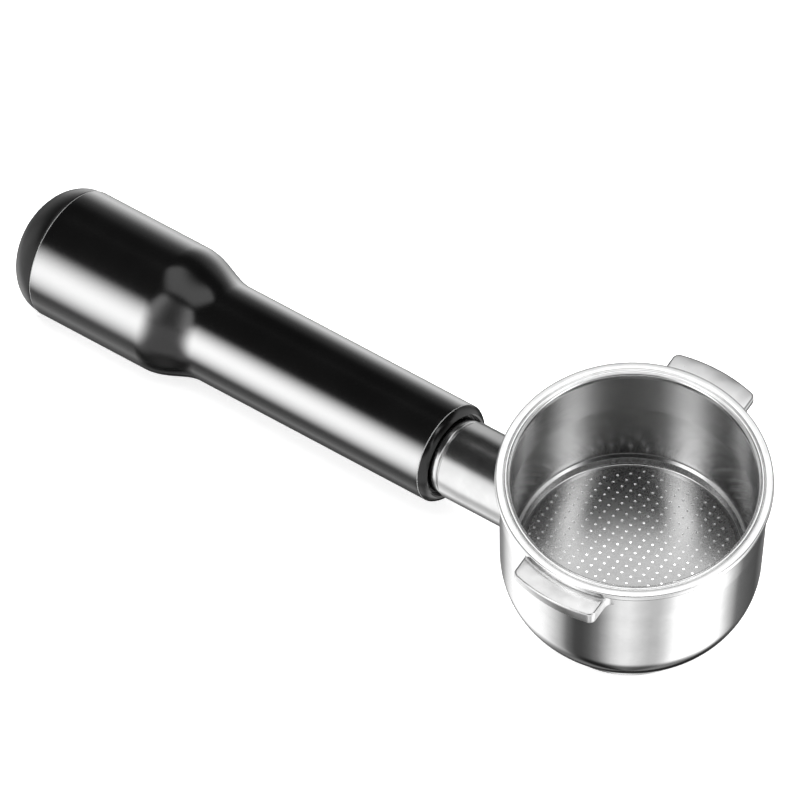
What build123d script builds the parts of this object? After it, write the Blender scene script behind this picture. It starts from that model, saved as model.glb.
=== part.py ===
"""Bottomless espresso portafilter for a 51 mm machine, with its single-wall filter basket.

Row frame: the origin is the centre of the basket's mouth, where its straight wall begins.
+Z is the basket's axis, up and out of the mouth. The handle points towards -X and droops.
All lengths are millimetres.
"""

import os
from math import cos, radians, sin, sqrt

from build123d import *

os.makedirs("parts", exist_ok=True)

# ---- Filter basket: pressed sheet, rolled rim, perforated floor ----
basket_bore_radius = 25.6
basket_sheet = 0.35
rim_height = 1.3
rim_outer_radius = 28.85
rim_bead_depth = 1.85
under_bead_round = 0.8
outer_crease_radius = 26.95
inner_crease_radius = 26.2
crease_depth = 0.4
basket_straight_depth = 12.0
wall_end_radius = 24.65
wall_end_depth = 27.4
shelf_depth = 28.0
shelf_inner_radius = 23.9
floor_depth = 29.5
floor_radius = 23.2
hole_radius = 0.25
hole_pitch_across = 2.1
hole_pitch_along = 1.81
hole_columns = 21
hole_rows = 25
hole_field_radius = 21.7
hole_field_turn = 7.6
bead_crest_shift = 0.2
bead_shoulder_out = 0.65
bead_shoulder_drop = 0.2
bead_inner_run = 0.25
bead_inner_drop = 0.12
narrow_bead_drop = 0.05
lip_arc_run = 0.2
lip_arc_rise = 0.1
lip_shoulder_run = 0.15
wall_bend_round = 8.0
shelf_round = 0.5
shelf_edge_round = 0.45
floor_corner_run = 0.2
floor_overlap = 0.95
floor_ring_width = 1.05

# ---- Pressed cup: straight lug band, tapered wall, conical bottom, open base ----
cup_outer_radius = 27.7
cup_wall = 1.2
cup_top = rim_height - rim_bead_depth
lug_band_depth = 8.0
cup_waist_radius = 27.0
cup_waist_depth = 31.3
cup_waist_round = 14.0
base_outer_radius = 19.5
base_depth = 43.9
base_land = 1.6
band_round = 40.0
cup_mouth_round = 0.3
base_corner_round = 1.5
base_lip_round = 0.4
lining_band_extra = 3.0
lining_waist_rise = 0.3
lining_land_extra = 0.6
lining_corner_round = 1.0
cutter_overrun = 1.0

# ---- Retaining spring: split wire ring in a groove inside the cup ----
spring_wire_radius = 0.4
spring_ring_radius = 26.65
spring_groove_radius = 0.5
spring_depth = 9.0
spring_gap_degrees = 12

# ---- Locking lugs: two ramped ears brazed to the cup ----
lug_outer_radius = 33.4
lug_width = 19.5
lug_thick_end = 3.5
lug_thin_end = 2.0
lug_corner_round = 1.6
lug_root_round = 2.0
lug_azimuth = 96.0
lug_overlap = 6.0
lug_cut_length = 20.0

# ---- Handle axis: it crosses the cup's axis below the mouth and droops ----
axis_depth = 25.5
droop = 11.3

# Stations along the handle axis, measured from the cup's axis
groove_start = 44.7
ferrule_start = 45.15
ferrule_end = 47.6
lip_face = 46.6
lip_edge = 48.1
socket_floor = 48.4
spigot_end = 50.4
front_web_end = 60.0
taper_start = 108.4
taper_end = 121.4
plate_seat = 124.0
seam = 149.7
cap_end = 159.4

neck_radius = 8.7
neck_root = 10.0
neck_bore = 7.0
sharp = 0.01
neck_groove_radius = 8.05
bush_start = 34.0
neck_edge_round = 0.35
ferrule_radius = 8.45
ferrule_spigot_radius = 7.0
ferrule_round = 0.3
spigot_clearance = 0.05
socket_radius = 9.1
grip_front_radius = 11.05
grip_rear_radius = 14.3
lip_face_radius = 9.55
lip_crown_back = 0.62
lip_crown_out = 0.88
socket_bevel = 0.15
grip_inner_bore = 8.2
cap_bore = 11.3
cap_clearance = 0.1
rod_radius = 4.0
rod_start = 36.0
rod_end = 137.5
rod_clearance = 0.1
rod_chamfer = 0.6
rod_hole_radius = rod_radius + rod_clearance
sleeve_radius = 6.5
plate_thickness = 2.0
plate_radius = 11.1
washer_radius = 8.0
washer_thickness = 1.5
washer_chamfer = 0.2
spring_washer_radius = 6.9
spring_washer_thickness = 2.0
spring_washer_gap = 1.2
nut_across_flats = 13.0
nut_thickness = 6.5
nut_chamfer = 0.6
nut_corner_margin = 0.1
cap_spigot_length = 8.0
cap_wall = 2.0
cap_crown = 2.6
seal_groove_station = 145.7
seal_wire_radius = 0.8
seal_groove_depth = 1.5
seam_chamfer = 0.25

droop_angle = radians(droop)
handle_direction = (-cos(droop_angle), 0, -sin(droop_angle))
handle_origin = (0, 0, -axis_depth)
handle_axis = Axis(handle_origin, handle_direction)
# Local x runs along the handle from the cup's axis, local y is the radius
handle_side = Plane(origin=handle_origin, x_dir=handle_direction, z_dir=(0, 1, 0))


def handle_section(station):
    """The plane square to the handle axis at a station, facing away from the cup."""
    origin = handle_axis.position + handle_axis.direction * station
    return Plane(origin=origin, x_dir=(0, 1, 0), z_dir=handle_direction)


def turned_ring(start, end, outer, inner, edge=0.0):
    """A plain ring turned about the handle axis, with its outer edges chamfered."""
    with BuildPart() as ring:
        with BuildSketch(handle_section(start)):
            Circle(outer)
            Circle(inner, mode=Mode.SUBTRACT)
        extrude(amount=end - start)
        if edge > 0:
            rims = ring.edges().filter_by(GeomType.CIRCLE).group_by(SortBy.RADIUS)[-1]
            chamfer(rims, length=edge)
    return ring


# ---- Cup envelope: the solid inside the cup's outer skin ----
waist = (cup_waist_radius, -cup_waist_depth)
with BuildPart() as cup_envelope:
    with BuildSketch(Plane.XZ):
        with BuildLine():
            FilletPolyline(
                (0, cup_top),
                (cup_outer_radius, cup_top),
                (cup_outer_radius, -lug_band_depth),
                waist,
                (base_outer_radius, -base_depth + base_land),
                (base_outer_radius, -base_depth),
                (0, -base_depth),
                radius=[
                    cup_mouth_round, band_round, cup_waist_round, base_corner_round, base_lip_round
                ],
            )
            Line((0, -base_depth), (0, cup_top))
        make_face()
    revolve(axis=Axis.Z)

# ---- Cup body: hollow bowl, spring groove inside, open base ----
lining_radius = cup_outer_radius - cup_wall
lining_waist_radius = cup_waist_radius - cup_wall
outlet_radius = base_outer_radius - cup_wall
cutter_top = cup_top + cutter_overrun
cutter_bottom = -base_depth - cutter_overrun
with BuildPart() as cup_body:
    add(cup_envelope.part)
    with BuildSketch(Plane.XZ):
        with BuildLine():
            FilletPolyline(
                (0, cutter_top),
                (lining_radius, cutter_top),
                (lining_radius, -lug_band_depth - lining_band_extra),
                (lining_waist_radius, -cup_waist_depth + lining_waist_rise),
                (outlet_radius, -base_depth + base_land + lining_land_extra),
                (outlet_radius, cutter_bottom),
                (0, cutter_bottom),
                radius=[sharp, band_round, cup_waist_round - cup_wall, lining_corner_round, sharp],
            )
            Line((0, cutter_bottom), (0, cutter_top))
        make_face()
    revolve(axis=Axis.Z, mode=Mode.SUBTRACT)
    with BuildSketch(Plane.XZ):
        with Locations((spring_ring_radius, -spring_depth)):
            Circle(spring_groove_radius)
    revolve(axis=Axis.Z, mode=Mode.SUBTRACT)
    mouth_edges = cup_body.edges().filter_by(GeomType.CIRCLE).group_by(Axis.Z)[-1]
    fillet(mouth_edges.sort_by(SortBy.RADIUS)[0], radius=cup_mouth_round)
cup_body.part.label = "cup_body"
export_step(cup_body.part, "parts/cup_body.step")


# ---- Locking lugs: flat top, ramped underside, rounded corners ----
def locking_lug(azimuth):
    """An ear with its outward direction at azimuth, thinnest at its clockwise end from above."""
    out = (cos(radians(azimuth)), sin(radians(azimuth)), 0)
    top = Plane(origin=(0, 0, cup_top), x_dir=out, z_dir=(0, 0, -1))
    with BuildPart() as lug:
        with BuildSketch(top) as outline:
            Rectangle(2 * lug_outer_radius, lug_width, align=(Align.MIN, Align.CENTER))
            Circle(lug_outer_radius, mode=Mode.INTERSECT)
            corners = outline.vertices().group_by(Axis(top.origin, out))[-1]
            fillet(corners, radius=lug_corner_round)
            Circle(cup_outer_radius)
            roots = [
                v for v in outline.vertices()
                if abs(Vector(v.X, v.Y, 0).length - cup_outer_radius) < sharp
                and Vector(v.X, v.Y, 0).dot(Vector(*out)) > 0
            ]
            fillet(roots, radius=lug_root_round)
            Circle(cup_outer_radius, mode=Mode.SUBTRACT)
        extrude(amount=lug_thick_end)
        # The underside rises from the thick end to the thin end
        half = lug_width / 2
        slope = (lug_thick_end - lug_thin_end) / lug_width
        reach = half + 2 * lug_root_round
        middle = (lug_thick_end + lug_thin_end) / 2
        side = Plane(origin=(0, 0, cup_top), x_dir=top.y_dir, z_dir=out)
        with BuildSketch(side.offset(cup_outer_radius - lug_overlap)):
            with BuildLine():
                Polyline(
                    (-half, lug_thick_end),
                    (reach, middle - slope * reach),
                    (reach, 2 * lug_thick_end),
                    (-half, 2 * lug_thick_end),
                    close=True,
                )
            make_face()
        extrude(amount=lug_cut_length, mode=Mode.SUBTRACT)
    return lug


lug_names = {"locking_lug_front": lug_azimuth + 180, "locking_lug_back": lug_azimuth}
for lug_name, lug_turn in lug_names.items():
    ear = locking_lug(lug_turn)
    ear.part.label = lug_name
    export_step(ear.part, f"parts/{lug_name}.step")

# ---- Retaining spring: a split ring of wire, its gap towards the handle ----
spring_half_gap = spring_gap_degrees / 2
gap_side = Plane.XZ.rotated((0, 0, 180 + spring_half_gap))
with BuildPart() as retaining_spring:
    with BuildSketch(gap_side):
        with Locations((spring_ring_radius, -spring_depth)):
            Circle(spring_wire_radius)
    revolve(axis=Axis.Z, revolution_arc=360 - spring_gap_degrees)
retaining_spring.part.label = "retaining_spring"
export_step(retaining_spring.part, "parts/retaining_spring.step")

# ---- Filter basket ----
# The rim's section: a wide outer bead, a crease, a narrow bead, a crease and the inner lip
wall_outer_radius = basket_bore_radius + basket_sheet
bead_crest = (outer_crease_radius + rim_outer_radius) / 2 - bead_crest_shift
bead_side = rim_height - rim_bead_depth + under_bead_round
outer_crease = (outer_crease_radius, rim_height - crease_depth)
inner_crease = (inner_crease_radius, rim_height - crease_depth)
narrow_crest_radius = (outer_crease_radius + inner_crease_radius) / 2
narrow_crest = (narrow_crest_radius, rim_height - narrow_bead_drop)
lip_shoulder = (
    basket_bore_radius + lip_shoulder_run,
    rim_height - crease_depth - lip_arc_rise,
)
hole_places = [
    place.position
    for place in GridLocations(
        hole_pitch_across, hole_pitch_along, hole_columns, hole_rows
    ).local_locations
    if place.position.length < hole_field_radius
]
floor_plane = Plane(
    origin=(0, 0, -floor_depth),
    x_dir=(cos(radians(hole_field_turn)), sin(radians(hole_field_turn)), 0),
    z_dir=(0, 0, 1),
)
with BuildPart() as filter_basket:
    with BuildSketch(Plane.XZ):
        with BuildLine():
            Polyline(
                (basket_bore_radius, 0),
                (basket_bore_radius, -basket_straight_depth),
                (wall_outer_radius, -basket_straight_depth),
                (wall_outer_radius, cup_top),
                (rim_outer_radius - under_bead_round, cup_top),
            )
            RadiusArc(
                (rim_outer_radius - under_bead_round, cup_top),
                (rim_outer_radius, bead_side),
                -under_bead_round,
            )
            ThreePointArc(
                (rim_outer_radius, bead_side),
                (bead_crest + bead_shoulder_out, rim_height - bead_shoulder_drop),
                (bead_crest, rim_height),
            )
            ThreePointArc(
                (bead_crest, rim_height),
                (outer_crease_radius + bead_inner_run, rim_height - bead_inner_drop),
                outer_crease,
            )
            ThreePointArc(outer_crease, narrow_crest, inner_crease)
            ThreePointArc(
                inner_crease,
                (inner_crease_radius - lip_arc_run, rim_height - crease_depth + lip_arc_rise),
                lip_shoulder,
            )
            Line(lip_shoulder, (basket_bore_radius, 0))
        make_face()
    revolve(axis=Axis.Z)
    # Wall below the straight stretch, narrow shelf and short drop to the floor
    with BuildSketch(Plane.XZ):
        with BuildLine():
            FilletPolyline(
                (basket_bore_radius, -basket_straight_depth + cutter_overrun),
                (basket_bore_radius, -basket_straight_depth),
                (wall_end_radius, -wall_end_depth),
                (shelf_inner_radius, -shelf_depth),
                (floor_radius + floor_corner_run, -floor_depth),
                (floor_radius - floor_ring_width, -floor_depth),
                radius=[wall_bend_round, shelf_round, shelf_edge_round, shelf_round],
            )
            offset(amount=basket_sheet, side=Side.LEFT)
        make_face()
    revolve(axis=Axis.Z)
    # Perforated floor
    with BuildSketch(floor_plane):
        Circle(floor_radius - floor_overlap)
        with Locations(*hole_places):
            Circle(hole_radius, mode=Mode.SUBTRACT)
    extrude(amount=-basket_sheet)
filter_basket.part.label = "filter_basket"
print("filter basket holes:", len(hole_places))
export_step(filter_basket.part, "parts/filter_basket.step")

# ---- Neck: a tube saddle-cut to the cup, stepped down where the ferrule starts ----
with BuildPart() as neck_tube:
    with BuildSketch(handle_side):
        with BuildLine():
            FilletPolyline(
                (neck_root, neck_bore),
                (neck_root, neck_radius),
                (groove_start, neck_radius),
                (groove_start, neck_groove_radius),
                (ferrule_start, neck_groove_radius),
                (ferrule_start, neck_bore),
                radius=[sharp, neck_edge_round, sharp, sharp],
            )
            Line((ferrule_start, neck_bore), (neck_root, neck_bore))
        make_face()
    revolve(axis=handle_axis)
    add(cup_envelope.part, mode=Mode.SUBTRACT)
neck_tube.part.label = "neck_tube"
export_step(neck_tube.part, "parts/neck_tube.step")

# ---- Threaded bush: brazed in the neck's outer end, blind hole tapped for the rod ----
with BuildPart() as neck_bush:
    with BuildSketch(handle_section(bush_start)):
        Circle(neck_bore)
    extrude(amount=ferrule_start - bush_start)
    with BuildSketch(handle_section(rod_start)):
        Circle(rod_radius)
    extrude(amount=ferrule_start - rod_start, mode=Mode.SUBTRACT)
neck_bush.part.label = "neck_bush"
export_step(neck_bush.part, "parts/neck_bush.step")

# ---- Ferrule: the bright ring at the neck's end, with a spigot that centres the grip ----
with BuildPart() as neck_ferrule:
    with BuildSketch(handle_side):
        with BuildLine():
            FilletPolyline(
                (ferrule_start, rod_hole_radius),
                (ferrule_start, ferrule_radius),
                (ferrule_end, ferrule_radius),
                (ferrule_end, ferrule_spigot_radius),
                (spigot_end, ferrule_spigot_radius),
                (spigot_end, rod_hole_radius),
                radius=[ferrule_round, ferrule_round, sharp, ferrule_round],
            )
            Line(
                (spigot_end, rod_hole_radius),
                (ferrule_start, rod_hole_radius),
            )
        make_face()
    revolve(axis=handle_axis)
neck_ferrule.part.label = "neck_ferrule"
export_step(neck_ferrule.part, "parts/neck_ferrule.step")

# ---- Front seal: a flat rubber ring between the ferrule and the socket's floor ----
front_seal = turned_ring(ferrule_end, socket_floor, ferrule_radius, ferrule_spigot_radius)
front_seal.part.label = "front_seal"
export_step(front_seal.part, "parts/front_seal.step")

# ---- Grip: one black moulding, slim in front, wide behind, cored out from the rear ----
with BuildPart() as grip:
    with BuildSketch(handle_side):
        with BuildLine():
            ThreePointArc(
                (lip_edge, grip_front_radius),
                (lip_face + lip_crown_back, lip_face_radius + lip_crown_out),
                (lip_face, lip_face_radius),
            )
            Polyline(
                (lip_face, lip_face_radius),
                (lip_face + socket_bevel, socket_radius),
                (socket_floor, socket_radius),
                (socket_floor, ferrule_spigot_radius + spigot_clearance),
                (spigot_end, ferrule_spigot_radius + spigot_clearance),
                (spigot_end, rod_hole_radius),
                (front_web_end, rod_hole_radius),
                (front_web_end, grip_inner_bore),
                (plate_seat - plate_thickness, grip_inner_bore),
                (plate_seat - plate_thickness, cap_bore),
                (seam, cap_bore),
                (seam, grip_rear_radius - seam_chamfer),
                (seam - seam_chamfer, grip_rear_radius),
                (taper_end, grip_rear_radius),
            )
            Spline(
                (taper_end, grip_rear_radius),
                (taper_start, grip_front_radius),
                tangents=[(-1, 0), (-1, 0)],
            )
            Line((taper_start, grip_front_radius), (lip_edge, grip_front_radius))
        make_face()
    revolve(axis=handle_axis)
grip.part.label = "grip"
export_step(grip.part, "parts/grip.step")

# ---- Tie rod: threaded from the bush, through the grip, to the nut under the cap ----
with BuildPart() as tie_rod:
    with BuildSketch(handle_section(rod_start)):
        Circle(rod_radius)
    extrude(amount=rod_end - rod_start)
    chamfer(tie_rod.edges().filter_by(GeomType.CIRCLE), length=rod_chamfer)
tie_rod.part.label = "tie_rod"
export_step(tie_rod.part, "parts/tie_rod.step")

# ---- Spacer sleeve: carries the nut's clamping force past the hollow moulding ----
sleeve_end = plate_seat - plate_thickness
spacer_sleeve = turned_ring(front_web_end, sleeve_end, sleeve_radius, rod_hole_radius)
spacer_sleeve.part.label = "spacer_sleeve"
export_step(spacer_sleeve.part, "parts/spacer_sleeve.step")

# ---- Stack under the nut: backing plate, flat washer, split spring washer ----
backing_plate = turned_ring(
    sleeve_end, plate_seat, plate_radius, rod_hole_radius, edge=washer_chamfer
)
backing_plate.part.label = "backing_plate"
export_step(backing_plate.part, "parts/backing_plate.step")

washer_end = plate_seat + washer_thickness
flat_washer = turned_ring(
    plate_seat, washer_end, washer_radius, rod_hole_radius, edge=washer_chamfer
)
flat_washer.part.label = "flat_washer"
export_step(flat_washer.part, "parts/flat_washer.step")

nut_start = washer_end + spring_washer_thickness
with BuildPart() as spring_washer:
    with BuildSketch(handle_section(washer_end)):
        Circle(spring_washer_radius)
        Circle(rod_hole_radius, mode=Mode.SUBTRACT)
        with Locations((spring_washer_radius, 0)):
            Rectangle(spring_washer_radius, spring_washer_gap, mode=Mode.SUBTRACT)
    extrude(amount=spring_washer_thickness)
spring_washer.part.label = "spring_washer"
export_step(spring_washer.part, "parts/spring_washer.step")

# ---- Clamping nut: plain hexagon with chamfered corners ----
nut_circle = nut_across_flats / sqrt(3)
with BuildPart() as clamp_nut:
    with BuildSketch(handle_section(nut_start)):
        RegularPolygon(nut_across_flats / 2, 6, major_radius=False)
    extrude(amount=nut_thickness)
    with BuildSketch(handle_side):
        with BuildLine():
            Polyline(
                (nut_start, 0),
                (nut_start, nut_circle - nut_chamfer),
                (nut_start + nut_chamfer / 2, nut_circle + nut_corner_margin),
                (nut_start + nut_thickness - nut_chamfer / 2, nut_circle + nut_corner_margin),
                (nut_start + nut_thickness, nut_circle - nut_chamfer),
                (nut_start + nut_thickness, 0),
                close=True,
            )
        make_face()
    revolve(axis=handle_axis, mode=Mode.INTERSECT)
    with BuildSketch(handle_section(nut_start)):
        Circle(rod_radius)
    extrude(amount=nut_thickness, mode=Mode.SUBTRACT)
clamp_nut.part.label = "clamp_nut"
export_step(clamp_nut.part, "parts/clamp_nut.step")

# ---- End cap: domed shell with a spigot that plugs into the grip ----
cap_spigot_start = seam - cap_spigot_length
cap_spigot_radius = cap_bore - cap_clearance
with BuildPart() as end_cap:
    with BuildSketch(handle_side):
        with BuildLine():
            Polyline(
                (cap_spigot_start, cap_spigot_radius - cap_wall),
                (cap_spigot_start, cap_spigot_radius),
                (seal_groove_station - seal_wire_radius, cap_spigot_radius),
                (seal_groove_station - seal_wire_radius, cap_spigot_radius - seal_groove_depth),
                (seal_groove_station + seal_wire_radius, cap_spigot_radius - seal_groove_depth),
                (seal_groove_station + seal_wire_radius, cap_spigot_radius),
                (seam, cap_spigot_radius),
                (seam, grip_rear_radius - seam_chamfer),
                (seam + seam_chamfer, grip_rear_radius),
            )
            EllipticalCenterArc(
                (seam + seam_chamfer, 0),
                cap_end - seam - seam_chamfer,
                grip_rear_radius,
                start_angle=0,
                arc_size=90,
            )
            Line((cap_end, 0), (cap_end - cap_crown, 0))
            Spline(
                (cap_end - cap_crown, 0),
                (seam, cap_spigot_radius - cap_wall),
                tangents=[(0, 1), (-1, 0)],
            )
            Line((seam, cap_spigot_radius - cap_wall), (cap_spigot_start, cap_spigot_radius - cap_wall))
        make_face()
    revolve(axis=handle_axis)
end_cap.part.label = "end_cap"
export_step(end_cap.part, "parts/end_cap.step")

# ---- Cap seal: the rubber ring that grips the cap in its bore ----
with BuildPart() as cap_seal:
    with BuildSketch(handle_side):
        with Locations((seal_groove_station, cap_bore - seal_wire_radius)):
            Circle(seal_wire_radius)
    revolve(axis=handle_axis)
cap_seal.part.label = "cap_seal"
export_step(cap_seal.part, "parts/cap_seal.step")
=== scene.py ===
"""Looks of the bottomless portafilter: detailed pieces, finishes, studio, floor and camera.

Metres in the row frame. Profiles below are written in millimetres, as the CAD part is.
"""

from math import acos, atan2, cos, degrees, hypot, pi, radians, sin, sqrt, tan

import bmesh
import bpy
import numpy as np
from mathutils import Matrix, Vector
from mathutils.geometry import delaunay_2d_cdt


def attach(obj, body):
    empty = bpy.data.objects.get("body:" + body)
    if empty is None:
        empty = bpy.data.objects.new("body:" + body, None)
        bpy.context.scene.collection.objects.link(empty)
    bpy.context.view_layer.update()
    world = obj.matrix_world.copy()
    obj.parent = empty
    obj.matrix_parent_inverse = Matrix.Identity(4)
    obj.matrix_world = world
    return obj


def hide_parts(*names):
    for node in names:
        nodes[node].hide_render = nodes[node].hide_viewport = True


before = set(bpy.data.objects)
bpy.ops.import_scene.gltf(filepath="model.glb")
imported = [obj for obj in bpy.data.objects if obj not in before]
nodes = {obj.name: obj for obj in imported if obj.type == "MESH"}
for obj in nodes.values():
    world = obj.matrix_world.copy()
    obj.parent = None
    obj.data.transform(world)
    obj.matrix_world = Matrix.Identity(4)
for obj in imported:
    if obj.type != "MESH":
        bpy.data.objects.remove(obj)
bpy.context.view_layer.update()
MM = 0.001

# ---- Sizes in millimetres, the same as the CAD part's ----
mouth_radius = 25.6
sheet = 0.35
rim_height = 1.3
rim_outer = 28.85
cup_top = -0.55
cup_outer = 27.7
cup_wall = 1.2
cup_waist = 27.0
waist_depth = 31.3
base_outer = 19.5
base_depth = 43.9
wall_drop = 12.0
floor_depth = 29.5
floor_radius = 23.2
floor_reach = floor_radius - 0.8
hole_radius = 0.25
hole_chamfer = 0.02
hole_pitch = 2.1
row_pitch = 1.81
lattice_radius = 21.7
lattice_turn = radians(7.6)
lug_outer = 33.4
lug_width = 19.5
lug_azimuth = 96.0
lug_root = 2.0
lug_corner = 1.6
lug_edge = 0.45
lug_thick, lug_thin = 3.5, 2.0
lining_top = 10.0
axis_depth = 25.5
droop = radians(11.3)
neck_radius = 8.7
neck_bore = 7.0
neck_end = 45.15
neck_straight = 40.0
groove_radius = 8.05
ferrule_radius = 8.45
socket_radius = 9.1
lip_face = 9.55
lip_edge = 48.1
lip_back = 49.0
ferrule_end = 50.4
rod_radius = 4.1
bush_bore = 7.05
taper_start = 108.4
taper_end = 121.4
seam = 149.7
cap_end = 159.4
grip_front = 11.05
grip_rear = 14.3
grip_bore = 11.3
cap_plug = 11.2
cap_bore = 9.2
cap_step = 0.2
cap_thickness = 2.6

cup_axis = (Vector((0, 0, 0)), Vector((0, 0, 1)), Vector((1, 0, 0)))
handle_axis = (
    Vector((0, 0, -axis_depth)),
    Vector((-cos(droop), 0, -sin(droop))),
    Vector((0, 1, 0)),
)


# ---- Profiles ----
def rounded(points, radii, step=7.0):
    """A polyline with each inner corner replaced by an arc of its radius."""
    out = [Vector(points[0])]
    for i in range(1, len(points) - 1):
        before, corner, after = (Vector(points[j]) for j in (i - 1, i, i + 1))
        radius = radii[i - 1]
        a = (before - corner).normalized()
        b = (after - corner).normalized()
        half = acos(max(-1.0, min(1.0, a.dot(b)))) / 2
        if radius <= 0 or half > pi / 2 - 0.002:
            out.append(corner)
            continue
        reach = radius / tan(half)
        centre = corner + (a + b).normalized() * (radius / sin(half))
        start, end = corner + a * reach - centre, corner + b * reach - centre
        turn = pi - 2 * half
        side = 1.0 if start.x * end.y - start.y * end.x > 0 else -1.0
        count = max(2, int(degrees(turn) / step) + 1)
        for k in range(count + 1):
            t = side * turn * k / count
            out.append(
                centre
                + Vector((
                    start.x * cos(t) - start.y * sin(t),
                    start.x * sin(t) + start.y * cos(t),
                ))
            )
    out.append(Vector(points[-1]))
    return out


def three_point_arc(start, middle, end, count=10):
    """Points on the arc from start through middle to end."""
    a, m, b = Vector(start), Vector(middle), Vector(end)
    d = 2 * (a.x * (m.y - b.y) + m.x * (b.y - a.y) + b.x * (a.y - m.y))
    ux = (a.dot(a) * (m.y - b.y) + m.dot(m) * (b.y - a.y) + b.dot(b) * (a.y - m.y)) / d
    uy = (a.dot(a) * (b.x - m.x) + m.dot(m) * (a.x - b.x) + b.dot(b) * (m.x - a.x)) / d
    centre = Vector((ux, uy))
    angles = [atan2(p.y - uy, p.x - ux) for p in (a, m, b)]
    first = (angles[1] - angles[0] + pi) % (2 * pi) - pi
    second = (angles[2] - angles[1] + pi) % (2 * pi) - pi
    radius = (a - centre).length
    sweep = first + second
    return [
        centre
        + Vector((
            radius * cos(angles[0] + sweep * k / count),
            radius * sin(angles[0] + sweep * k / count),
        ))
        for k in range(count + 1)
    ]


def split_long(profile, longest):
    """The same polyline with no segment longer than longest."""
    out = [Vector(profile[0])]
    for a, b in zip(profile, profile[1:]):
        count = max(1, int((Vector(b) - Vector(a)).length / longest + 0.999))
        out += [Vector(a).lerp(Vector(b), k / count) for k in range(1, count + 1)]
    return out


def without_doubles(profile):
    """The same polyline with no point on top of the one before it."""
    out = [Vector(profile[0])]
    for p in profile[1:]:
        if (Vector(p) - out[-1]).length > 1e-4:
            out.append(Vector(p))
    return out


# ---- Meshes ----
def finish_mesh(bm, name, sharp_angle=28.0):
    """Makes an object from bm, smooth except at edges sharper than sharp_angle."""
    bmesh.ops.recalc_face_normals(bm, faces=bm.faces)
    limit = radians(sharp_angle)
    for face in bm.faces:
        face.smooth = True
    for edge in bm.edges:
        edge.smooth = not (len(edge.link_faces) == 2 and edge.calc_face_angle(0) > limit)
    mesh = bpy.data.meshes.new(name)
    bm.to_mesh(mesh)
    bm.free()
    obj = bpy.data.objects.new(name, mesh)
    bpy.context.scene.collection.objects.link(obj)
    return obj


def turned(name, profile, axis, segments=288, closed=True):
    """Turns (station, radius) points about an axis. A closed profile makes a solid ring."""
    origin, along, across = axis
    other = along.cross(across)
    points = without_doubles(profile)
    if closed and (points[0] - points[-1]).length < 1e-4:
        points.pop()
    bm = bmesh.new()
    rings = []
    for p in points:
        if p.y < 1e-6:
            rings.append([bm.verts.new((origin + along * p.x) * MM)])
            continue
        ring = []
        for k in range(segments):
            a = 2 * pi * k / segments
            place = origin + along * p.x + (across * cos(a) + other * sin(a)) * p.y
            ring.append(bm.verts.new(place * MM))
        rings.append(ring)
    pairs = list(zip(rings, rings[1:]))
    if closed:
        pairs.append((rings[-1], rings[0]))
    for a, b in pairs:
        for k in range(segments):
            n = (k + 1) % segments
            if len(a) == 1 and len(b) == 1:
                break
            if len(a) == 1:
                bm.faces.new((a[0], b[n], b[k]))
            elif len(b) == 1:
                bm.faces.new((a[k], a[n], b[0]))
            else:
                bm.faces.new((a[k], a[n], b[n], b[k]))
    return finish_mesh(bm, name)


def across_up(points):
    """Turns (radius, height) points into (station, radius) for the cup's axis."""
    return [Vector((p[1], p[0])) for p in points]


# Cup: the outer and inner skins of the pressed bowl
cup_skin = rounded(
    [
        (cup_outer - 0.9, cup_top),
        (cup_outer, cup_top),
        (cup_outer, -8.0),
        (cup_waist, -waist_depth),
        (base_outer, -base_depth + 1.6),
        (base_outer, -base_depth),
        (base_outer - 0.6, -base_depth),
    ],
    [0.3, 40.0, 14.0, 1.5, 0.4],
    step=2.5,
)
cup_lining = rounded(
    [
        (base_outer - 0.6, -base_depth),
        (base_outer - cup_wall, -base_depth),
        (base_outer - cup_wall, -base_depth + 2.2),
        (cup_waist - cup_wall, -waist_depth + 0.3),
        (cup_outer - cup_wall, -11.0),
        (cup_outer - cup_wall, -9.5),
    ],
    [0.25, 1.0, 12.8, 40.0],
    step=4,
)
spring_groove = three_point_arc(
    (cup_outer - cup_wall, -9.477), (27.15, -9.0), (cup_outer - cup_wall, -8.523), 12
)
cup_mouth = rounded(
    [
        (cup_outer - cup_wall, -8.3),
        (cup_outer - cup_wall, cup_top),
        (cup_outer - 0.9, cup_top),
    ],
    [0.3],
    step=10,
)
cup = turned(
    "cup",
    across_up(split_long(cup_skin + cup_lining + spring_groove + cup_mouth, 1.6)),
    cup_axis,
    360,
)
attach(cup, "root")
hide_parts("cup_body")


def lug_outline(azimuth):
    """Outline of an ear, x outward and y anticlockwise, and the turn to its place."""
    half = lug_width / 2
    top = sqrt((lug_outer - lug_corner) ** 2 - (half - lug_corner) ** 2)
    first = atan2(half - lug_corner, top)
    points = []
    # Root fillet on the anticlockwise side, from the cup's skin out to the straight side
    root_x = sqrt((cup_outer + lug_root) ** 2 - (half + lug_root) ** 2)
    start = atan2(-(half + lug_root), -root_x)
    for k in range(9):
        a = start + (-pi / 2 - start) * k / 8
        points.append((root_x + lug_root * cos(a), half + lug_root + lug_root * sin(a)))
    for k in range(1, 9):
        a = pi / 2 + (first - pi / 2) * k / 8
        points.append((top + lug_corner * cos(a), half - lug_corner + lug_corner * sin(a)))
    for k in range(1, 32):
        a = first * (1 - 2 * k / 32)
        points.append((lug_outer * cos(a), lug_outer * sin(a)))
    points += [(x, -y) for x, y in reversed(points[:17])]
    # Each outer point has one straight inside it, within the cup's wall
    inner = cup_outer - 0.5
    points += [Vector(p).normalized() * inner for p in reversed(points)]
    turn = Matrix.Rotation(radians(azimuth), 2)
    return [Vector(p) for p in points], turn


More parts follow.
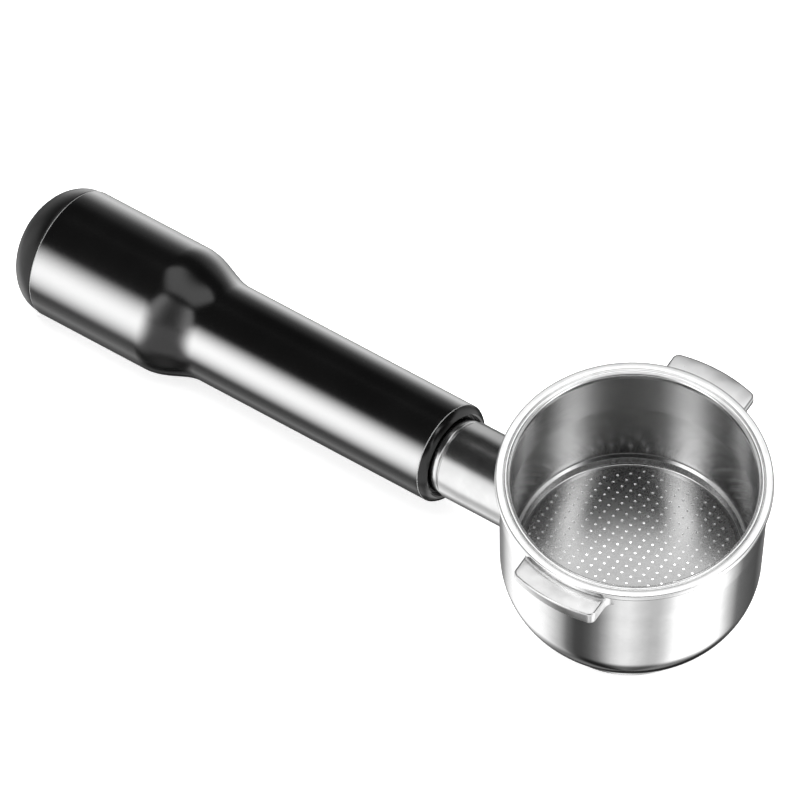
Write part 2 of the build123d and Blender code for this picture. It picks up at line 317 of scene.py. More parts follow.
def lug(name, azimuth, node):
    """An ear with a flat top, a ramped underside, rounded corners and softened edges."""
    outline, turn = lug_outline(azimuth)
    count = len(outline)
    inward = []
    for k in range(count):
        a, b, c = outline[k - 1], outline[k], outline[(k + 1) % count]
        t = (c - a).normalized()
        inward.append(Vector((t.y, -t.x)))
    area = sum(
        outline[k - 1].x * outline[k].y - outline[k].x * outline[k - 1].y for k in range(count)
    )
    if area > 0:
        inward = [-n for n in inward]
    slope = (lug_thick - lug_thin) / lug_width
    bm = bmesh.new()
    loops = []
    steps = 5
    for side in (0, 1):
        for k in range(steps + 1):
            a = pi / 2 * (k / steps if side == 0 else 1 - k / steps)
            inset = lug_edge * (1 - sin(a))
            drop = lug_edge * (1 - cos(a))
            loop = []
            for p, n in zip(outline, inward):
                q = turn @ (p + n * inset)
                under = (lug_thick + lug_thin) / 2 + slope * p.y
                z = cup_top - drop if side == 0 else cup_top - under + drop
                loop.append(bm.verts.new((q.x * MM, q.y * MM, z * MM)))
            loops.append(loop)
    for a, b in zip(loops, loops[1:]):
        for k in range(count):
            n = (k + 1) % count
            bm.faces.new((a[k], a[n], b[n], b[k]))
    for loop in (loops[0], list(reversed(loops[-1]))):
        for k in range(count // 2 - 1):
            bm.faces.new((loop[k], loop[k + 1], loop[-2 - k], loop[-1 - k]))
    obj = finish_mesh(bm, name)
    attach(obj, "root")
    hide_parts(node)
    return obj


ears = [
    lug("lug_front", lug_azimuth + 180, "locking_lug_front"),
    lug("lug_back", lug_azimuth, "locking_lug_back"),
]

# Basket: rolled rim, wall, shelf and perforated floor
outer_crease, inner_crease, crease_height = 26.95, 26.2, rim_height - 0.4
bead_crest = (outer_crease + rim_outer) / 2 - 0.2
bead_side = cup_top + 0.8
rim_profile = (
    rounded(
        [
            (mouth_radius + sheet, -wall_drop),
            (mouth_radius + sheet, cup_top),
            (rim_outer - 0.8, cup_top),
        ],
        [0.25],
    )
    + three_point_arc(
        (rim_outer - 0.8, cup_top),
        (rim_outer - 0.8 + 0.8 * sin(pi / 4), bead_side - 0.8 * cos(pi / 4)),
        (rim_outer, bead_side),
        8,
    )
    + rounded(
        [
            (rim_outer, bead_side),
            (rim_outer - 0.12, rim_height - 0.03),
            (bead_crest, rim_height),
            (outer_crease + 0.18, rim_height - 0.02),
            (outer_crease, crease_height),
            (outer_crease - 0.2, rim_height - 0.08),
            (inner_crease + 0.2, rim_height - 0.08),
            (inner_crease, crease_height),
            (inner_crease - 0.2, crease_height + 0.1),
            (mouth_radius + 0.15, crease_height - 0.1),
            (mouth_radius, 0),
        ],
        [0.3, 2.0, 0.12, 0.05, 0.1, 0.1, 0.05, 0.12, 0.3],
        step=9,
    )
)
wall_path = rounded(
    [
        (mouth_radius, -0.2),
        (mouth_radius, -wall_drop),
        (24.65, -27.4),
        (23.9, -28.0),
        (floor_radius + 0.2, -floor_depth),
        (floor_reach, -floor_depth),
    ],
    [8.0, 0.5, 0.45, 0.5],
    step=9,
)


def outer_side(path, distance):
    """The path moved sideways, away from the cup's axis and down."""
    out = []
    for k, p in enumerate(path):
        a, b = path[max(0, k - 1)], path[min(len(path) - 1, k + 1)]
        t = (b - a).normalized()
        out.append(p + Vector((-t.y, t.x)) * distance)
    return out


wall_path = without_doubles(wall_path)
wall_back = outer_side(wall_path, sheet)
basket_profile = rim_profile + split_long(wall_path, 1.5) + list(reversed(wall_back[1:]))
basket = turned("basket", across_up(basket_profile), cup_axis, 360)
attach(basket, "basket")
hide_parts("filter_basket")


def perforated_floor():
    """The basket's floor, a thin disc with a lattice of round holes, each with a broken edge."""
    sides = 14
    ring = 144
    wide = hole_radius + hole_chamfer
    points = [
        (floor_reach * cos(2 * pi * k / ring), floor_reach * sin(2 * pi * k / ring))
        for k in range(ring)
    ]
    loops = [list(range(ring))]
    for i in range(-10, 11):
        for j in range(-12, 13):
            x, y = hole_pitch * i, row_pitch * j
            if hypot(x, y) >= lattice_radius:
                continue
            cx = x * cos(lattice_turn) - y * sin(lattice_turn)
            cy = x * sin(lattice_turn) + y * cos(lattice_turn)
            first = len(points)
            points += [
                (cx + wide * cos(2 * pi * k / sides), cy + wide * sin(2 * pi * k / sides))
                for k in range(sides)
            ]
            loops.append(list(range(first, first + sides)))
    edges = [
        (loop[k], loop[(k + 1) % len(loop)]) for loop in loops for k in range(len(loop))
    ]
    verts, _, faces, origins, _, _ = delaunay_2d_cdt(
        [Vector(p) for p in points], edges, [], 1, 1e-7
    )
    place = {old: new for new, olds in enumerate(origins) for old in olds}
    hole_of = {}
    for number, loop in enumerate(loops[1:]):
        for old in loop:
            hole_of[place[old]] = number
    kept = []
    for face in faces:
        holes = {hole_of.get(v, -1) for v in face}
        if len(holes) == 1 and -1 not in holes:
            continue
        kept.append(face)
    bm = bmesh.new()
    up = -floor_depth * MM
    top = [bm.verts.new((v[0] * MM, v[1] * MM, up)) for v in verts]
    bottom = [bm.verts.new((v[0] * MM, v[1] * MM, up - sheet * MM)) for v in verts]
    for face in kept:
        bm.faces.new([top[v] for v in face])
        bm.faces.new([bottom[v] for v in reversed(face)])
    for number, loop in enumerate(loops):
        if number == 0:
            for k in range(ring):
                n = (k + 1) % ring
                a, b = place[loop[k]], place[loop[n]]
                bm.faces.new((top[a], top[b], bottom[b], bottom[a]))
            continue
        centre = sum((Vector(points[v]) for v in loop), Vector((0, 0))) / sides
        round_hole = [centre + (Vector(points[v]) - centre) * hole_radius / wide for v in loop]
        throat = []
        for level in (-hole_chamfer, -sheet + hole_chamfer):
            throat.append([
                bm.verts.new((p.x * MM, p.y * MM, up + level * MM)) for p in round_hole
            ])
        for k in range(sides):
            n = (k + 1) % sides
            a, b = place[loop[k]], place[loop[n]]
            bm.faces.new((top[b], top[a], throat[0][k], throat[0][n]))
            bm.faces.new((throat[0][n], throat[0][k], throat[1][k], throat[1][n]))
            bm.faces.new((throat[1][n], throat[1][k], bottom[a], bottom[b]))
    return finish_mesh(bm, "basket_floor", 20)


plate = perforated_floor()
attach(plate, "basket")


def cup_radius_at(height):
    """Radius of the cup's outer skin at a height, by its profile."""
    skin = sorted(((p.y, p.x) for p in cup_skin), key=lambda q: q[0])
    return float(np.interp(height, [q[0] for q in skin], [q[1] for q in skin]))


def neck():
    """A bright tube that meets the cup in a saddle, with a shoulder at its other end."""
    origin, along, across = handle_axis
    other = along.cross(across)
    segments = 288
    shoulder = neck_end - 0.45
    outer = rounded(
        [(neck_straight, neck_radius), (shoulder, neck_radius), (shoulder, groove_radius)],
        [0.35],
        step=9,
    )
    outer += [Vector((neck_end, groove_radius)), Vector((neck_end, neck_bore))]
    bm = bmesh.new()
    rings = []

    def meeting(angle, radius, inset):
        """Station where a line along the tube leaves the cup's skin, less an inset."""
        low, high = 15.0, 35.0
        for _ in range(40):
            s = (low + high) / 2
            p = origin + along * s + (across * cos(angle) + other * sin(angle)) * radius
            if hypot(p.x, p.y) < cup_radius_at(p.z) - inset:
                low = s
            else:
                high = s
        return low

    angles = [2 * pi * k / segments for k in range(segments)]
    starts = [meeting(a, neck_radius, 0.6) for a in angles]
    flare = [meeting(a, neck_radius, 0.0) for a in angles]
    # A small braze fillet runs round the saddle
    stations = [(0.0, 0.45, 0), (0.0, 0.45, 1), (0.12, 0.3, 1), (0.3, 0.14, 1), (0.55, 0.03, 1)]
    for offset, grow, which in stations:
        base = starts if which == 0 else flare
        ring = []
        for a, s in zip(angles, base):
            radial = across * cos(a) + other * sin(a)
            p = origin + along * (s + offset) + radial * (neck_radius + grow)
            ring.append(bm.verts.new(p * MM))
        rings.append(ring)
    for k in range(9):
        share = k / 8
        ring = []
        for a, s in zip(angles, flare):
            radial = across * cos(a) + other * sin(a)
            station = (s + 0.9) * (1 - share) + neck_straight * share
            ring.append(bm.verts.new((origin + along * station + radial * neck_radius) * MM))
        rings.append(ring)
    for p in outer[1:]:
        rings.append([
            bm.verts.new(
                (origin + along * p.x + (across * cos(a) + other * sin(a)) * p.y) * MM
            )
            for a in angles
        ])
    inner_start = [meeting(a, neck_bore, 0.6) for a in angles]
    rings.append([
        bm.verts.new((origin + along * s + (across * cos(a) + other * sin(a)) * neck_bore) * MM)
        for a, s in zip(angles, inner_start)
    ])
    for a, b in list(zip(rings, rings[1:])) + [(rings[-1], rings[0])]:
        for k in range(segments):
            n = (k + 1) % segments
            bm.faces.new((a[k], a[n], b[n], b[k]))
    return finish_mesh(bm, "neck")


neck_piece = neck()
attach(neck_piece, "root")
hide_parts("neck_tube")

# Ferrule, grip and cap
ferrule = turned(
    "ferrule",
    rounded(
        [
            (neck_end, rod_radius),
            (neck_end, ferrule_radius),
            (47.6, ferrule_radius),
            (47.6, neck_bore),
            (ferrule_end, neck_bore),
            (ferrule_end, rod_radius),
            (neck_end, rod_radius),
        ],
        [0.35, 0.35, 0.05, 0.3, 0.05],
        step=10,
    ),
    handle_axis,
)
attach(ferrule, "root")
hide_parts("neck_ferrule")


def hermite(start, end, count):
    """A curve between two points with both ends level, as the CAD's taper is."""
    span = (Vector(end) - Vector(start)).length
    out = []
    for k in range(count + 1):
        t = k / count
        h00 = 2 * t ** 3 - 3 * t ** 2 + 1
        h10 = t ** 3 - 2 * t ** 2 + t
        h01 = -2 * t ** 3 + 3 * t ** 2
        h11 = t ** 3 - t ** 2
        x = h00 * start[0] + h01 * end[0] - (h10 + h11) * span
        y = h00 * start[1] + h01 * end[1]
        out.append(Vector((x, y)))
    return out


lip_crown = (47.22, lip_face + 0.88)
lip = three_point_arc((lip_edge, grip_front), lip_crown, (46.6, lip_face), 14)
lip = rounded([(lip_back, grip_front), lip[0], lip[1]], [0.12], step=10) + lip[2:]
mouth = rounded(
    [(46.6, lip_face), (46.75, socket_radius), (48.4, socket_radius), (48.4, bush_bore)],
    [0.2, 0.15],
    step=12,
)
core = [
    Vector(p)
    for p in (
        (ferrule_end, bush_bore),
        (ferrule_end, rod_radius),
        (60.0, rod_radius),
        (60.0, 8.2),
        (122.0, 8.2),
        (122.0, grip_bore),
        (seam, grip_bore),
    )
]
rear = rounded([(seam, grip_bore), (seam, grip_rear), (seam - 2.0, grip_rear)], [0.4], step=8)
body = split_long([(seam - 2.0, grip_rear), (taper_end, grip_rear)], 4.0)
taper = hermite((taper_end, grip_rear), (taper_start, grip_front), 40)
slim = split_long([(taper_start, grip_front), (lip_back, grip_front)], 4.0)
grip = turned("grip_handle", lip + mouth + core + rear + body + taper + slim, handle_axis)
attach(grip, "root")
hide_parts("grip")

dome = [
    Vector((
        seam + 0.3 + (cap_end - seam - 0.3) * sin(pi / 2 * k / 36),
        (grip_rear - cap_step) * cos(pi / 2 * k / 36),
    ))
    for k in range(37)
]
dome[-1].y = 0.0
hollow = [
    Vector((
        seam + (cap_end - cap_thickness - seam) * sin(pi / 2 * k / 20),
        cap_bore * cos(pi / 2 * k / 20),
    ))
    for k in range(21)
]
hollow[-1].y = 0.0
cap_profile = (
    rounded([(seam, cap_plug), (seam, grip_rear - cap_step), dome[1]], [0.28], step=10)
    + dome[2:]
    + list(reversed(hollow))
    + [
        Vector(p)
        for p in (
            (141.7, cap_bore),
            (141.7, cap_plug),
            (144.9, cap_plug),
            (144.9, 9.7),
            (146.5, 9.7),
            (146.5, cap_plug),
        )
    ]
)
cap = turned("cap", cap_profile, handle_axis, closed=False)
bm = bmesh.new()
bm.from_mesh(cap.data)
bmesh.ops.holes_fill(bm, edges=[e for e in bm.edges if e.is_boundary], sides=0)
bm.to_mesh(cap.data)
bm.free()
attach(cap, "root")
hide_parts("end_cap")


# ---- Materials ----
class Shade:
    """Short helpers for a node tree."""

    def __init__(self, tree):
        self.tree = tree
        self.new = tree.nodes.new

    def link(self, value, socket):
        if isinstance(value, bpy.types.NodeSocket):
            self.tree.links.new(value, socket)
        else:
            socket.default_value = value

    def math(self, operation, *values):
        node = self.new("ShaderNodeMath")
        node.operation = operation
        for value, socket in zip(values, node.inputs):
            self.link(value, socket)
        return node.outputs[0]

    def dot(self, vector, constant):
        node = self.new("ShaderNodeVectorMath")
        node.operation = "DOT_PRODUCT"
        self.link(vector, node.inputs[0])
        node.inputs[1].default_value = constant
        return node.outputs["Value"]

    def spread(self, value, low, high, to_low=0.0, to_high=1.0):
        """Eases from one value to another between two limits."""
        node = self.new("ShaderNodeMapRange")
        node.interpolation_type = "SMOOTHSTEP"
        node.clamp = True
        self.link(value, node.inputs["Value"])
        for key, number in (
            ("From Min", low), ("From Max", high), ("To Min", to_low), ("To Max", to_high)
        ):
            self.link(number, node.inputs[key])
        return node.outputs[0]

    def scaled(self, vector, scale):
        node = self.new("ShaderNodeMapping")
        self.link(vector, node.inputs["Vector"])
        node.inputs["Scale"].default_value = scale
        return node.outputs[0]

    def noise(self, vector, scale, detail, rough):
        node = self.new("ShaderNodeTexNoise")
        self.link(vector, node.inputs["Vector"])
        node.inputs["Scale"].default_value = scale
        node.inputs["Detail"].default_value = detail
        node.inputs["Roughness"].default_value = rough
        return node.outputs[0]

    def ramp(self, value, stops):
        """Greys between stops of (place, grey)."""
        node = self.new("ShaderNodeValToRGB")
        elements = node.color_ramp.elements
        while len(elements) > 1:
            elements.remove(elements[-1])
        elements[0].position = stops[0][0]
        elements[0].color = (*[stops[0][1]] * 3, 1)
        for place, grey in stops[1:]:
            elements.new(place).color = (grey, grey, grey, 1)
        self.link(value, node.inputs[0])
        return node.outputs[0]

    def mix_colour(self, factor, a, b):
        node = self.new("ShaderNodeMix")
        node.data_type = "RGBA"
        self.link(factor, node.inputs[0])
        self.link(a, node.inputs[6])
        self.link(b, node.inputs[7])
        return node.outputs[2]

    def bump(self, height, strength, distance, normal=None):
        node = self.new("ShaderNodeBump")
        node.inputs["Strength"].default_value = strength
        node.inputs["Distance"].default_value = distance
        self.link(height, node.inputs["Height"])
        if normal is not None:
            self.link(normal, node.inputs["Normal"])
        return node.outputs[0]


def material(name):
    """A new material with its node helper, its surface node and its place in the object."""
    made = bpy.data.materials.new(name)
    made.use_nodes = True
    shade = Shade(made.node_tree)
    surface = made.node_tree.nodes["Principled BSDF"]
    place = shade.new("ShaderNodeTexCoord").outputs["Object"]
    return made, shade, surface, place


def metal(name, colour, rough, swing, grain, grain_scale, bump, wave=0.0, turned_grain=0.0):
    """A bare metal: tinted reflection, uneven roughness, fine grain and slow waviness."""
    made, shade, surface, place = material(name)
    surface.inputs["Metallic"].default_value = 1.0
    fine = shade.noise(shade.scaled(place, grain), grain_scale, 4.0, 0.6)
    slow = shade.noise(place, 60.0, 3.0, 0.5)
    blotch = shade.noise(place, 170.0, 4.0, 0.6)
    low = tuple(c * 0.93 for c in colour)
    surface_colour = shade.mix_colour(
        shade.spread(blotch, 0.35, 0.65), (*low, 1), (*colour, 1)
    )
    shade.link(surface_colour, surface.inputs["Base Color"])
    mixed = shade.math("ADD", shade.math("MULTIPLY", fine, 0.6), shade.math("MULTIPLY", slow, 0.4))
    shade.link(
        shade.spread(mixed, 0.3, 0.7, rough - swing, rough + swing),
        surface.inputs["Roughness"],
    )
    normal = shade.bump(fine, bump, 0.0002)
    if wave > 0:
        normal = shade.bump(slow, wave, 0.002, normal)
    shade.link(normal, surface.inputs["Normal"])
    if turned_grain > 0:
        tangent = shade.new("ShaderNodeTangent")
        tangent.direction_type = "RADIAL"
        tangent.axis = "Z"
        shade.link(tangent.outputs[0], surface.inputs["Tangent"])
        surface.inputs["Anisotropic"].default_value = turned_grain
        surface.inputs["Anisotropic Rotation"].default_value = 0.25
    return made


def moulded(name, tint, rough, swing, grain_scale, bump, specular=0.5):
    """Black moulded plastic or rubber: faint mottling, texture and uneven gloss."""
    made, shade, surface, place = material(name)
    surface.inputs["Specular IOR Level"].default_value = specular
    fine = shade.noise(place, grain_scale, 4.0, 0.65)
    slow = shade.noise(place, 45.0, 3.0, 0.5)
    shade.link(
        shade.mix_colour(
            shade.spread(slow, 0.3, 0.7),
            (*(c * 0.8 for c in tint), 1),
            (*(c * 1.2 for c in tint), 1),
        ),
        surface.inputs["Base Color"],
    )
    mixed = shade.math("ADD", shade.math("MULTIPLY", fine, 0.5), shade.math("MULTIPLY", slow, 0.5))
    shade.link(
        shade.spread(mixed, 0.3, 0.7, rough - swing, rough + swing),
        surface.inputs["Roughness"],
    )
    shade.link(shade.bump(fine, bump, 0.0002), surface.inputs["Normal"])
    return made


def grey(value):
    """A colour with three equal parts."""
    return (value, value, value)


# Colour, roughness and its swing, grain and its scale, bump, waviness, turned grain
steel = metal(
    "polished_steel_finish", grey(0.81), 0.09, 0.015, (1, 1, 6), 700.0, 0.01, 0.005, 0.15
)
lining_steel = metal("cup_lining_finish", grey(0.89), 0.6, 0.05, (1, 1, 4), 700.0, 0.05)
lug_steel = metal("lug_steel_finish", grey(0.82), 0.30, 0.03, (1, 1, 1), 500.0, 0.04, 0.2)
chrome = metal("bright_chrome_finish", grey(0.84), 0.2, 0.015, (1, 1, 1), 500.0, 0.008, 0.01)
rim_steel = metal("basket_rim_finish", grey(0.945), 0.22, 0.02, (1, 1, 1), 600.0, 0.006, 0.004)
basket_wall = metal(
    "basket_wall_finish", grey(0.66), 0.2, 0.015, (1, 1, 5), 900.0, 0.01, 0.003, 0.4
)
basket_floor = metal("basket_floor_finish", grey(0.54), 0.27, 0.03, (1, 1, 1), 1500.0, 0.06, 0.0)
wire = metal("spring_wire_finish", (0.62, 0.61, 0.60), 0.22, 0.05, (1, 1, 1), 1500.0, 0.05)
zinc = metal("zinc_steel_finish", (0.66, 0.68, 0.70), 0.32, 0.08, (1, 1, 1), 1200.0, 0.12)
aluminium = metal("sleeve_aluminium_finish", (0.78, 0.78, 0.79), 0.3, 0.06, (1, 5, 5), 900.0, 0.06)
grip_black = moulded("black_grip_finish", grey(0.002), 0.17, 0.02, 1600.0, 0.02, 0.6)
# Pale grey painted on the holes' walls: painted light standing in for light through the holes
hole_wall_painted_light = moulded("punched_edge_painted_light_finish", grey(0.72), 0.4, 0.03, 1600.0, 0.02)
# A lighter grey painted on the grip's two edge lines: a painted highlight
painted_edge_highlight = moulded("painted_edge_highlight_finish", grey(0.13), 0.3, 0.03, 1600.0, 0.05)
cap_black = moulded("black_cap_finish", grey(0.003), 0.34, 0.03, 2200.0, 0.1)
rubber = moulded("black_rubber_finish", grey(0.02), 0.65, 0.06, 1800.0, 0.2, 0.35)


def along_handle(point):
    """Station and radius of a point about the handle's axis."""
    origin, along, _ = handle_axis
    station = (point - origin).dot(along)
    return station, (point - origin - along * station).length


def paint(obj, finish):
    """Gives every face of obj one finish."""
    obj.data.materials.clear()
    obj.data.materials.append(finish)
    for polygon in obj.data.polygons:
        polygon.material_index = 0


paint(cup, steel)
cup.data.materials.append(lining_steel)
for polygon in cup.data.polygons:
    middle = polygon.center
    inward = polygon.normal.x * middle.x + polygon.normal.y * middle.y < 0
    if inward and middle.z < -lining_top * MM:
        polygon.material_index = 1
paint(basket, basket_wall)
basket.data.materials.append(rim_steel)
for polygon in basket.data.polygons:
    if polygon.center.z > -0.0003:
        polygon.material_index = 1
paint(plate, basket_floor)
# The walls of the punched holes are painted pale and matt: painted light, so that the holes show
# bright as if lit through
plate.data.materials.append(hole_wall_painted_light)
for polygon in plate.data.polygons:
    off_centre = hypot(polygon.center.x, polygon.center.y) / MM
    if abs(polygon.normal.z) < 0.9 and off_centre < floor_radius - 1.0:
        polygon.material_index = 1
paint(neck_piece, chrome)
paint(ferrule, chrome)
paint(grip, grip_black)
# The two outer corners of the moulding are painted a lighter grey, a painted highlight line along
# each edge
grip.data.materials.append(painted_edge_highlight)
for polygon in grip.data.polygons:
    station, radius = along_handle(polygon.center / MM)
    on_rim = radius > grip_front - 0.1 and lip_edge - 0.12 < station < lip_edge + 0.1
    if on_rim or (station > seam - 0.34 and radius > grip_rear - 0.36):
        polygon.material_index = 1
paint(cap, cap_black)
for ear in ears:
    paint(ear, lug_steel)
for node, finish in {
    "retaining_spring": wire,
    "tie_rod": zinc,
    "neck_bush": zinc,
    "spacer_sleeve": aluminium,
    "backing_plate": zinc,
    "flat_washer": zinc,
    "spring_washer": zinc,
    "clamp_nut": zinc,
    "front_seal": rubber,
    "cap_seal": rubber,
}.items():
    paint(nodes[node], finish)

# ---- Camera: long lens, high on the right-hand side, rolled a little ----
look_azimuth = radians(36.2)
look_down = radians(57.4)
roll = radians(2.08)
away = Vector((-sin(look_azimuth), cos(look_azimuth), 0))
right_level = Vector((cos(look_azimuth), sin(look_azimuth), 0))
up_level = away * sin(look_down) + Vector((0, 0, cos(look_down)))
forward = away * cos(look_down) - Vector((0, 0, sin(look_down)))
right = right_level * cos(roll) + up_level * sin(roll)
up = up_level * cos(roll) - right_level * sin(roll)
target = Vector((0, 0, 0.0003)) - right * 0.04829 + up * 0.01685
lens = 1400
# The distance goes with the lens, so that the object fills the same part of the frame
distance = 0.004577 * lens
camera_data = bpy.data.cameras.new("camera")
camera_data.lens = lens
camera_data.sensor_width = 36
camera_data.clip_start = 0.1
camera_data.clip_end = 20
camera = bpy.data.objects.new("camera", camera_data)
camera.matrix_world = Matrix((
    (right.x, up.x, -forward.x, target.x - forward.x * distance),
    (right.y, up.y, -forward.y, target.y - forward.y * distance),
    (right.z, up.z, -forward.z, target.z - forward.z * distance),
    (0, 0, 0, 1),
))
bpy.context.scene.collection.objects.link(camera)
bpy.context.scene.camera = camera
bpy.context.scene.view_settings.view_transform = "Standard"

# ---- Studio: the softboxes and walls that the bright metal mirrors ----
world = bpy.data.worlds.new("studio")
bpy.context.scene.world = world
world.use_nodes = True
world.node_tree.nodes.clear()
studio = Shade(world.node_tree)
ray = studio.new("ShaderNodeTexCoord").outputs["Generated"]


def studio_direction(bearing, elevation):
    """Unit vector; bearing is anticlockwise from above, from the near side towards the right."""
    b, e = radians(bearing), radians(elevation)
    level = right_level * sin(b) - away * cos(b)
    return level * cos(e) + Vector((0, 0, sin(e)))


def softbox(bearing, elevation, half_width, half_height, soft_width, soft_height, strength):
    """A panel square to its direction. Sizes are tangents of angles."""
    centre = studio_direction(bearing, elevation)
    side = Vector((0, 0, 1)).cross(centre).normalized()
    rise = centre.cross(side)
    facing = studio.dot(ray, centre)
    ahead = studio.math("MAXIMUM", facing, 0.02)
    x = studio.math("ABSOLUTE", studio.math("DIVIDE", studio.dot(ray, side), ahead))
    y = studio.math("ABSOLUTE", studio.math("DIVIDE", studio.dot(ray, rise), ahead))
    mask = studio.math(
        "MULTIPLY",
        studio.spread(x, half_width - soft_width, half_width + soft_width, 1.0, 0.0),
        studio.spread(y, half_height - soft_height, half_height + soft_height, 1.0, 0.0),
    )
    seen = studio.math("GREATER_THAN", facing, 0.02)
    return studio.math("MULTIPLY", studio.math("MULTIPLY", mask, seen), strength)


height = studio.dot(ray, (0, 0, 1))
bearing = studio.math(
    "ARCTAN2", studio.dot(ray, tuple(right_level)), studio.dot(ray, tuple(-away))
)
turn_share = studio.math("ADD", studio.math("DIVIDE", bearing, 2 * pi), 0.5)
# Light on the table round the object, by bearing in degrees
table_light = [
    (-180, 0.14), (-154, 0.32), (-140, 0.85), (-126, 1.35), (-104, 1.45), (-84, 1.20),
    (-75, 0.89), (-66, 0.55), (-58, 0.18), (-50, 0.07), (-43, 0.07), (-36, 0.11), (-28, 0.23),
    (-21, 0.49), (-14, 0.81), (-7, 1.02), (0, 1.04), (6, 0.91), (13, 0.76), (20, 0.62),
    (27, 0.64), (34, 0.88), (41, 1.29), (49, 1.60), (57, 1.65), (82, 1.60), (91, 1.28),
    (101, 0.70), (113, 0.18), (127, 0.12), (145, 0.08), (180, 0.30),
]
brightest = max(light for _, light in table_light)
table_ramp = studio.ramp(
    turn_share, [(b / 360 + 0.5, shade / brightest) for b, shade in table_light]
)
low_band = studio.math(
    "MULTIPLY",
    studio.math("MULTIPLY", table_ramp, brightest),
    studio.math(
        "MULTIPLY",
        studio.spread(height, -0.72, -0.45, 1.0, 0.0),
        studio.spread(height, -0.965, -0.88, 0.14, 1.0),
    ),
)


def curtain(centre, half_width, soft_width, heights, strength):
    """A tall panel between two bearings, in degrees. Heights are sines of elevation."""
    off = studio.math("ABSOLUTE", studio.math("SUBTRACT", bearing, radians(centre)))
    across = studio.spread(
        off, radians(half_width - soft_width), radians(half_width + soft_width), 1.0, 0.0
    )
    low, low_full, high_full, high = heights
    upward = studio.math(
        "MULTIPLY",
        studio.spread(height, low, low_full),
        studio.spread(height, high_full, high, 1.0, 0.0),
    )
    return studio.math("MULTIPLY", studio.math("MULTIPLY", across, upward), strength)


far_side = studio.spread(studio.math("ABSOLUTE", bearing), radians(110), radians(150))
near_side = studio.math("SUBTRACT", 1.0, far_side)
panels = [
    # Pale walls all round, a little above and below the horizon
    studio.math("MULTIPLY", curtain(0, 400, 1, (-0.68, -0.42, 0.30, 0.55), 0.95), near_side),
    studio.math("MULTIPLY", curtain(0, 400, 1, (-0.56, -0.36, 0.05, 0.50), 0.5), far_side),
    # Overhead softbox, mostly beyond the object
    softbox(180, 74, 0.26, 0.42, 0.15, 0.10, 1.4),
    # A panel on the left with a narrow softbox above it, and the same on the right
    curtain(-54, 22, 16, (-0.80, -0.45, 0.45, 0.60), 1.25),
    curtain(-49, 13, 10, (0.30, 0.50, 0.90, 0.98), 2.6),
    curtain(61, 14, 10, (-0.60, -0.40, 0.50, 0.70), 1.6),
    curtain(61, 12, 9, (0.30, 0.50, 0.90, 0.98), 2.4),
]
total = studio.math("MAXIMUM", low_band, 0.015)
for panel in panels:
    total = studio.math("MAXIMUM", total, panel)

path = studio.new("ShaderNodeLightPath")
mirrored = studio.new("ShaderNodeBackground")
studio.link(total, mirrored.inputs["Color"])
plain = studio.new("ShaderNodeBackground")
plain.inputs["Color"].default_value = (1, 1, 1, 1)
plain.inputs["Strength"].default_value = 1.0
choice = studio.new("ShaderNodeMixShader")
studio.link(path.outputs["Is Camera Ray"], choice.inputs[0])
studio.link(mirrored.outputs[0], choice.inputs[1])
studio.link(plain.outputs[0], choice.inputs[2])
output = studio.new("ShaderNodeOutputWorld")
studio.link(choice.outputs[0], output.inputs["Surface"])

# ---- Floor: a pale disc that the base's front edge and the wide grip rest on ----
rest_base = Vector((base_outer, 0, -base_depth))
grip_origin, grip_along, _ = handle_axis
grip_down = Vector((sin(droop), 0, -cos(droop)))
rest_grip = grip_origin + grip_along * (seam - 2) + grip_down * grip_rear
lie = (rest_base - rest_grip).normalized()
floor_normal = Vector((-lie.z, 0, lie.x))
floor_centre = (rest_base + rest_grip) / 2
bm = bmesh.new()
bmesh.ops.create_circle(bm, cap_ends=True, segments=96, radius=0.3)
spin = Vector((0, 0, 1)).rotation_difference(floor_normal).to_matrix().to_4x4()
bm.transform(Matrix.Translation(floor_centre * MM) @ spin)
floor = finish_mesh(bm, "floor")
floor_paint, shade, surface, place = material("pale_floor")
surface.inputs["Base Color"].default_value = (0.93, 0.93, 0.93, 1)
surface.inputs["Roughness"].default_value = 0.9
surface.inputs["Specular IOR Level"].default_value = 0.0
# Painted light: the floor itself glows under the open base, most of it below its far half, and
# this glow comes up through the base
table_glow, base_glow = 0.65, 6.0
base_inside, base_edge = 0.0150, 0.0176
off_centre = shade.math(
    "ADD",
    shade.math("POWER", shade.dot(place, (1, 0, 0)), 2.0),
    shade.math("POWER", shade.dot(place, (0, 1, 0)), 2.0),
)
surface.inputs["Emission Color"].default_value = (1, 1, 1, 1)
# Painted glow under the base, rising from 0.2 to base_glow towards its far half
under_base = shade.spread(shade.dot(place, tuple(away)), -0.004, 0.012, 0.2, base_glow)
beyond = shade.spread(off_centre, base_inside ** 2, base_edge ** 2)
lit = shade.math("MULTIPLY", under_base, shade.math("SUBTRACT", 1.0, beyond))
shade.link(
    shade.math("ADD", lit, shade.math("MULTIPLY", beyond, table_glow)),
    surface.inputs["Emission Strength"],
)
paint(floor, floor_paint)
floor.visible_glossy = False

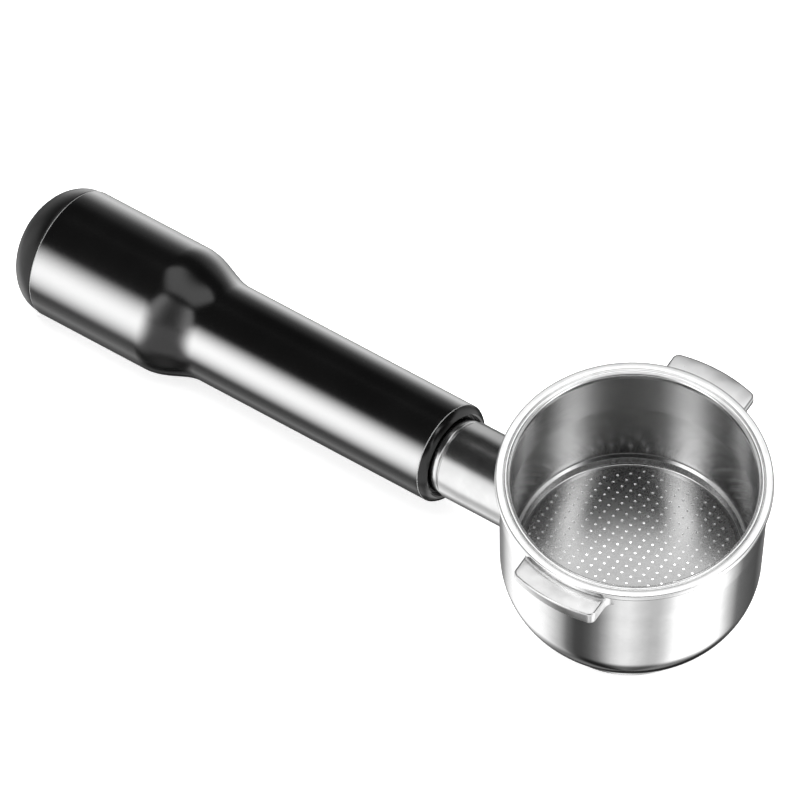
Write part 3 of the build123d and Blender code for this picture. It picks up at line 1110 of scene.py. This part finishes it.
overhead = bpy.data.lights.new("overhead", "AREA")
overhead.shape = "DISK"
overhead.size = 1.4
overhead.energy = 27.0
lamp = bpy.data.objects.new("overhead", overhead)
lamp.location = (-0.05, 0.15, 1.1)
lamp.rotation_mode = "QUATERNION"
lamp.rotation_quaternion = (lamp.location - Vector((-0.05, 0, 0))).to_track_quat("Z", "Y")
lamp.visible_glossy = False
bpy.context.scene.collection.objects.link(lamp)

# Two soft lamps that only the black handle mirrors: bearing, elevation, width, height, watts
lamp_distance = 0.7
handle_lamps = {
    "handle_glow": (-66, 2, 0.9, 1.3, 52.0, [grip]),
    "edge_glow": (170, -20, 0.9, 0.85, 4.6, [grip, cap]),
}
for name, (side, rise, wide, tall, power, mirrored_by) in handle_lamps.items():
    glow = bpy.data.lights.new(name, "AREA")
    glow.shape = "ELLIPSE"
    glow.size = wide
    glow.size_y = tall
    glow.energy = power
    glow.use_nodes = True
    gradient = Shade(glow.node_tree)
    spot = gradient.new("ShaderNodeSeparateXYZ")
    gradient.link(gradient.new("ShaderNodeNewGeometry").outputs["Parametric"], spot.inputs[0])
    reach = gradient.math(
        "SQRT",
        gradient.math(
            "ADD",
            gradient.math("POWER", gradient.math("SUBTRACT", spot.outputs[0], 0.5), 2.0),
            gradient.math("POWER", gradient.math("SUBTRACT", spot.outputs[1], 0.5), 2.0),
        ),
    )
    gradient.link(
        gradient.spread(reach, 0.0, 0.48, 1.0, 0.0),
        glow.node_tree.nodes["Emission"].inputs["Strength"],
    )
    glow_lamp = bpy.data.objects.new(name, glow)
    way = studio_direction(side, rise)
    glow_lamp.location = way * lamp_distance + Vector((-0.1, 0, -0.03))
    glow_lamp.rotation_mode = "QUATERNION"
    glow_lamp.rotation_quaternion = way.to_track_quat("Z", "Y")
    glow_lamp.visible_camera = False
    lit_pieces = bpy.data.collections.new(name)
    for piece in mirrored_by:
        lit_pieces.objects.link(piece)
    glow_lamp.light_linking.receiver_collection = lit_pieces
    bpy.context.scene.collection.objects.link(glow_lamp)
